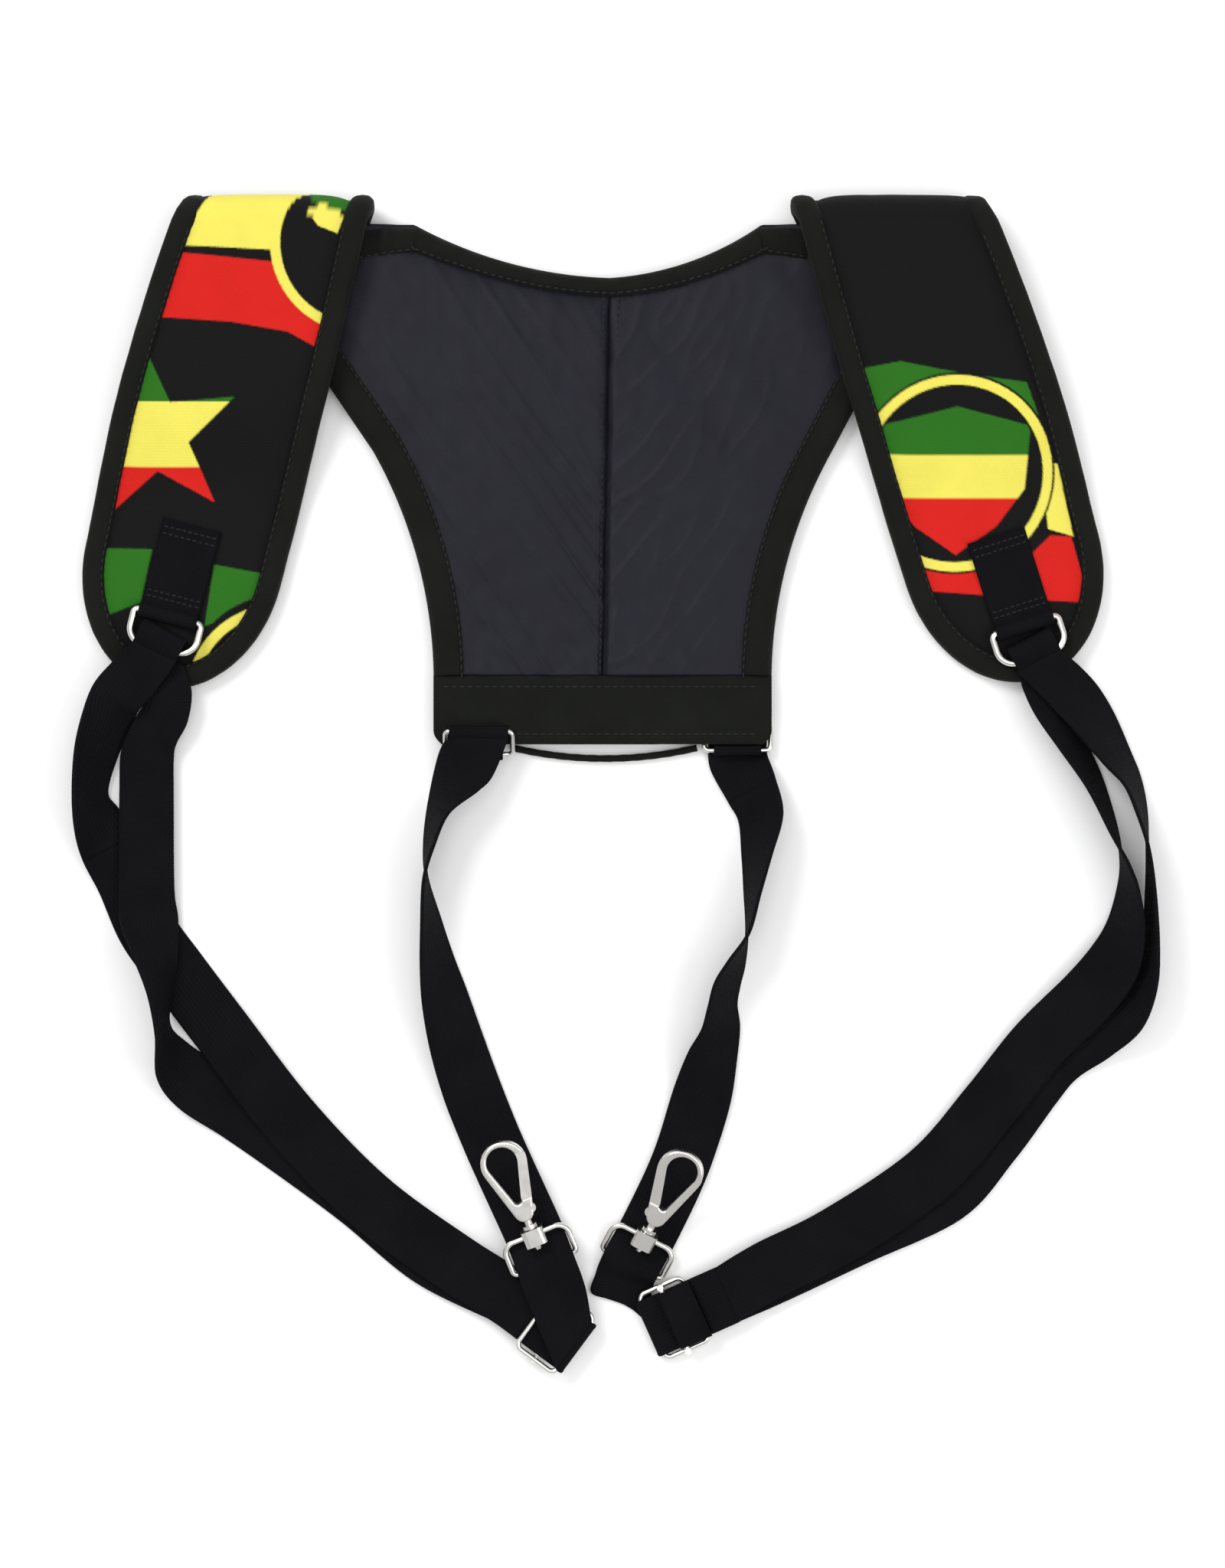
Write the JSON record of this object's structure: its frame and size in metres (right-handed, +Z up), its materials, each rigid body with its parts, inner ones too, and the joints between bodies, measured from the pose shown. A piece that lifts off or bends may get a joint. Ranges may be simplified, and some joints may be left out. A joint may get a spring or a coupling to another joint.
{
  "type": "saxophone harness",
  "caption": "Padded double-shoulder harness with a back yoke, folded shoulder pads, webbing and swivel snap hooks for holding a saxophone.",
  "frame": {"origin": "on the outer face of the back panel, on its centre line, where the harness lies on a surface", "axes": "+X is to the right as seen from above, +Y from the hooks towards the shoulders, +Z up from the surface"},
  "size_m": [0.4554, 0.4971, 0.0269],
  "materials": {
    "nickel": "polished nickel plate",
    "webbing": "ribbed black webbing",
    "printed_cloth": "printed woven cloth in black, green, yellow and red",
    "foam": "soft closed foam",
    "lining": "dark navy nylon, soft sheen",
    "black_cloth": "matt black binding cloth"
  },
  "bodies": {
    "harness": {"back_cover": "black_cloth", "back_foam": "foam", "back_lining_left": "lining", "back_lining_right": "lining", "band_bight_left": "webbing", "band_bight_right": "webbing", "bottom_band": "black_cloth", "front_leg_left": "webbing", "front_leg_right": "webbing", "hem_piping": "black_cloth", "hook_leg_left": "webbing", "hook_leg_right": "webbing", "hook_leg_top_left": "webbing", "hook_leg_top_right": "webbing", "loop_keeper_left": "webbing", "loop_keeper_right": "webbing", "neckline_binding": "black_cloth", "rear_leg_left": "webbing", "rear_leg_right": "webbing", "rear_tail_left": "webbing", "rear_tail_right": "webbing", "ring_bight_left": "webbing", "ring_bight_right": "webbing", "ring_tab_left": "webbing", "ring_tab_right": "webbing", "shoulder_backing_left": "lining", "shoulder_backing_right": "lining", "shoulder_binding_left": "black_cloth", "shoulder_binding_right": "black_cloth", "shoulder_cover_left": "printed_cloth", "shoulder_cover_right": "printed_cloth", "shoulder_foam_left": "foam", "shoulder_foam_right": "foam", "side_binding_left": "black_cloth", "side_binding_right": "black_cloth"},
    "shoulder_ring_left": {"shoulder_ring_left": "nickel"},
    "hem_ring_left": {"band_loop_left": "nickel"},
    "slide_left": {"slide_buckle_left": "nickel", "slide_loop_left": "webbing"},
    "eye_left": {"hook_eye_left": "nickel"},
    "hook_left": {"hook_body_left": "nickel", "hook_pin_left": "nickel"},
    "gate_left": {"hook_gate_left": "nickel"},
    "shoulder_ring_right": {"shoulder_ring_right": "nickel"},
    "hem_ring_right": {"band_loop_right": "nickel"},
    "slide_right": {"slide_buckle_right": "nickel", "slide_loop_right": "webbing"},
    "eye_right": {"hook_eye_right": "nickel"},
    "hook_right": {"hook_body_right": "nickel", "hook_pin_right": "nickel"},
    "gate_right": {"hook_gate_right": "nickel"}
  },
  "joints": [
    {"name": "shoulder_ring_tilt_left", "type": "hinge", "parent": "harness", "child": "shoulder_ring_left", "pos_m": [-0.18297, -0.04589, 0.0126], "axis": [-0.9681, 0.2504, 0], "range_deg": [0, 30], "deforming": ["ring_bight_left"]},
    {"name": "hem_ring_tilt_left", "type": "hinge", "parent": "harness", "child": "hem_ring_left", "pos_m": [-0.0521, -0.104, 0.008], "axis": [1, 0, 0], "range_deg": [-7, 10], "deforming": ["band_bight_left"]},
    {"name": "slide_travel_left", "type": "slide", "parent": "harness", "child": "slide_left", "axis": [-0.8039, 0.5948, 0], "range_m": [0, 0.008], "deforming": ["rear_tail_left"]},
    {"name": "eye_tilt_left", "type": "hinge", "parent": "harness", "child": "eye_left", "pos_m": [-0.024, -0.3189, 0.0091], "axis": [0.9272, 0.3746, 0], "range_deg": [0, 80]},
    {"name": "hook_swivel_left", "type": "hinge", "parent": "eye_left", "child": "hook_left", "pos_m": [-0.02886, -0.30688, 0.01385], "axis": [-0.371, 0.9182, 0.1392], "continuous": true},
    {"name": "gate_open_left", "type": "hinge", "parent": "hook_left", "child": "gate_left", "pos_m": [-0.03023, -0.2944, 0.01555], "axis": [0.0521, -0.129, 0.9903], "range_deg": [0, 20], "stiffness_Nm_per_rad": 0.02, "springref_deg": -20.05},
    {"name": "shoulder_ring_tilt_right", "type": "hinge", "parent": "harness", "child": "shoulder_ring_right", "pos_m": [0.1778, -0.04976, 0.0126], "axis": [-0.9537, -0.3007, 0], "range_deg": [0, 30], "deforming": ["ring_bight_right"]},
    {"name": "hem_ring_tilt_right", "type": "hinge", "parent": "harness", "child": "hem_ring_right", "pos_m": [0.0571, -0.1023, 0.0045], "axis": [1, 0, 0], "range_deg": [-7, 6], "deforming": ["band_bight_right"]},
    {"name": "slide_travel_right", "type": "slide", "parent": "harness", "child": "slide_right", "axis": [0.9135, 0.4067, 0], "range_m": [0, 0.008], "deforming": ["rear_tail_right"]},
    {"name": "eye_tilt_right", "type": "hinge", "parent": "harness", "child": "eye_right", "pos_m": [0.0121, -0.32, 0.0016], "axis": [0.891, -0.454, 0], "range_deg": [0, 66]},
    {"name": "hook_swivel_right", "type": "hinge", "parent": "eye_right", "child": "hook_right", "pos_m": [0.01773, -0.30895, 0.00768], "axis": [0.4405, 0.8645, 0.2419], "continuous": true},
    {"name": "gate_open_right", "type": "hinge", "parent": "hook_right", "child": "gate_right", "pos_m": [0.02007, -0.29686, 0.01063], "axis": [0.1098, 0.2156, -0.9703], "range_deg": [0, 20], "stiffness_Nm_per_rad": 0.02, "springref_deg": -20.05}
  ]
}
